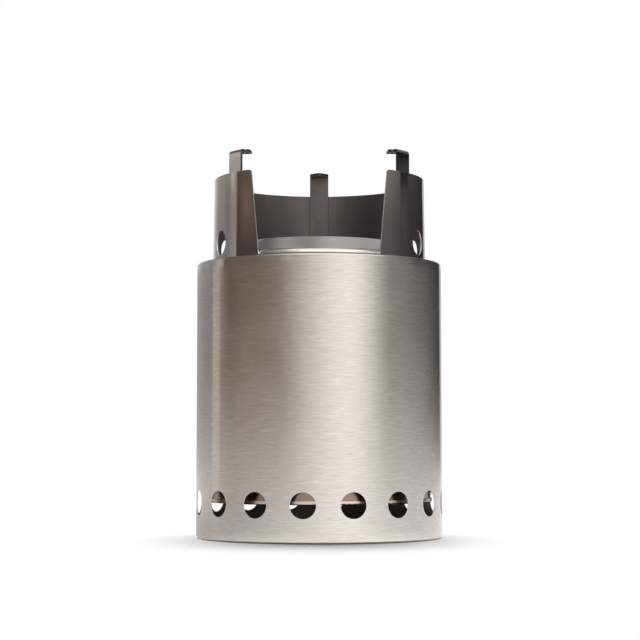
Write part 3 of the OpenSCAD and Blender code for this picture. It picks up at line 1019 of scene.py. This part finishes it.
    def add_floor(self, studio):
        """A pale table top that keeps the stove's shadow and runs out to white."""
        material, nodes, shader = new_material("pale_floor")
        place = nodes.coordinates()
        fibres = nodes.noise(place, scale=900.0, detail=3.0)
        paper = nodes.remap(fibres, 0.3, 0.7, 0.99, 1.0)
        tone = nodes.mix(1.0, (*studio.floor_colour, 1.0), paper, "MULTIPLY")
        nodes.put(shader.inputs["Base Color"], tone)
        shader.inputs["Roughness"].default_value = 0.9
        shader.inputs["Specular IOR Level"].default_value = 0.0
        oval = nodes.vector("MULTIPLY", place, (studio.floor_oval, 1.0, 0.0))
        far = nodes.math("SQRT", nodes.vector("DOT_PRODUCT", oval, oval))
        run_out = nodes.remap(far, studio.floor_fade, studio.floor_fade * 2, smooth=True)
        white = nodes.add("ShaderNodeEmission", {"Strength": 1.0})
        blend = nodes.add("ShaderNodeMixShader")
        nodes.put(blend.inputs[0], nodes.math("MULTIPLY", run_out, self.background_rays(nodes)))
        nodes.put(blend.inputs[1], shader.outputs[0])
        nodes.put(blend.inputs[2], white.outputs[0])
        show_glow(material, nodes, blend)
        rings = [(share_out * studio.floor_radius, 0.0) for share_out in (1.0, 0.6, 0.3, 0.1, 1e-4)]
        self.add_stage("floor", lathe(rings, count=128), material)

    def add_cards(self, studio):
        """Cards that only reflections see: a round wall of them, the table top's light and a ceiling."""
        material, nodes, _shader = new_material("card_light")
        tone = nodes.add("ShaderNodeAttribute", attribute_name="light").outputs["Color"]
        bounced = nodes.add("ShaderNodeLightPath").outputs["Diffuse Depth"]
        level = nodes.remap(bounced, 0.0, 1.0, 1.0, studio.card_bounce)
        show_glow(material, nodes, nodes.add("ShaderNodeEmission", {"Color": tone, "Strength": level}))
        reach, top = studio.card_radius, studio.card_high
        lift, near, middle = studio.card_lift, studio.card_near, studio.card_middle
        low, ring, strap, upper = studio.card_low, studio.card_ring, studio.card_strap, studio.card_upper
        haze = Vector(self.TABLE_HAZE)
        hazy = [(angle, Vector(tones[0]).lerp(haze, studio.card_haze), tones[0])
                for angle, *tones in self.WALL_LIGHT]
        bands = {
            "low_card": (hazy, (reach, 0.0), (reach, low)),
            "wall_card": (self.WALL_LIGHT, (reach, low), (reach, ring)),
            "ring_card": (self.RING_LIGHT, (reach, ring), (reach, strap)),
            "strap_card": (self.STRAP_LIGHT, (reach, strap), (reach, upper)),
            "top_card": (self.TOP_LIGHT, (reach, upper), (reach, top)),
            "near_card": (self.NEAR_LIGHT, (middle, lift), (near, lift)),
            "far_card": (self.FAR_LIGHT, (reach, lift), (middle, lift)),
        }
        for name, (stops, *edges) in bands.items():
            places = [lambda a, r=r, z=z: around(math.radians(a), r, z) for r, z in edges]
            first, *tones = stops[0]
            self.add_card(name, [*stops, (first + 360, *tones)], places, material)
        ceilings = {
            "front_ceiling": (self.FRONT_CEILING, -reach, studio.ceiling_split),
            "back_ceiling": (self.BACK_CEILING, studio.ceiling_split, reach),
        }
        for name, (stops, *edges) in ceilings.items():
            places = [lambda x, y=y: Vector((x, y, top)) for y in edges]
            self.add_card(name, stops, places, material)

    def add_card(self, name, stops, places, material):
        """A card whose light eases from stop to stop, between the two edges that places give."""
        stop_steps = 16
        mesh = bmesh.new()
        light = mesh.verts.layers.float_color.new("light")
        for (first, *start), (last, *end) in zip(stops, stops[1:]):
            rows = []
            for share_of in steps(0, 1, stop_steps):
                eased = share_of * share_of * (3 - 2 * share_of)
                row = [mesh.verts.new(place(first + (last - first) * share_of)) for place in places]
                for edge, vert in zip((0, -1), row):
                    tone = Vector(start[edge]).lerp(Vector(end[edge]), eased)
                    vert[light] = (*tone, 1.0)
                rows.append(row)
            for (a, b), (c, d) in zip(rows, rows[1:]):
                if first < last:
                    mesh.faces.new((a, c, d, b))
        card = self.add_stage(name, mesh, material)
        for rays in ("camera", "diffuse", "shadow", "transmission"):
            setattr(card, "visible_" + rays, False)

    def add_top_light(self, context, studio):
        data = bpy.data.lights.new("top_light", "AREA")
        data.shape = "RECTANGLE"
        data.size = studio.top_width
        data.size_y = studio.top_depth
        data.energy = studio.top_power
        light = bpy.data.objects.new("top_light", data)
        light.location = (0.0, studio.top_back, studio.top_height)
        light.rotation_euler = (Vector() - light.location).to_track_quat("-Z", "Y").to_euler()
        light.visible_camera = False
        light.visible_glossy = False
        context.scene.collection.objects.link(light)


PIECES = (
    TWIGSTOVE_OT_studio, TWIGSTOVE_OT_finishes, TWIGSTOVE_OT_outer_wall, TWIGSTOVE_OT_chamber,
    TWIGSTOVE_OT_grate, TWIGSTOVE_OT_lip, TWIGSTOVE_OT_ring_wall, TWIGSTOVE_OT_pot_supports,
)


class TWIGSTOVE_PT_panel(Panel):
    """Lists the stove's pieces and their settings in the sidebar"""

    bl_idname = "TWIGSTOVE_PT_panel"
    bl_label = "Twig Stove"
    bl_space_type = "VIEW_3D"
    bl_region_type = "UI"
    bl_category = "Twig Stove"

    def draw(self, context):
        for piece in PIECES:
            self.layout.operator(piece.bl_idname)
        for name, group in SETTINGS.items():
            for setting in group.__annotations__:
                self.layout.prop(getattr(context.scene, name), setting)


SETTINGS = {
    "twig_stove_sizes": TwigStoveSizes,
    "twig_stove_finish": TwigStoveFinish,
    "twig_stove_studio": TwigStoveStudio,
}
CLASSES = (*SETTINGS.values(), *PIECES, TWIGSTOVE_PT_panel)


def register():
    for made in CLASSES:
        bpy.utils.register_class(made)
    for name, group in SETTINGS.items():
        setattr(bpy.types.Scene, name, PointerProperty(type=group))


def unregister():
    for name in SETTINGS:
        delattr(bpy.types.Scene, name)
    for made in reversed(CLASSES):
        bpy.utils.unregister_class(made)


def main():
    register()
    bpy.ops.twig_stove.studio()
    bpy.ops.twig_stove.finishes()
    bpy.ops.twig_stove.outer_wall()
    bpy.ops.twig_stove.chamber()
    bpy.ops.twig_stove.grate()
    bpy.ops.twig_stove.lip()
    bpy.ops.twig_stove.ring_wall()
    bpy.ops.twig_stove.pot_supports()


if __name__ == "__main__":
    main()
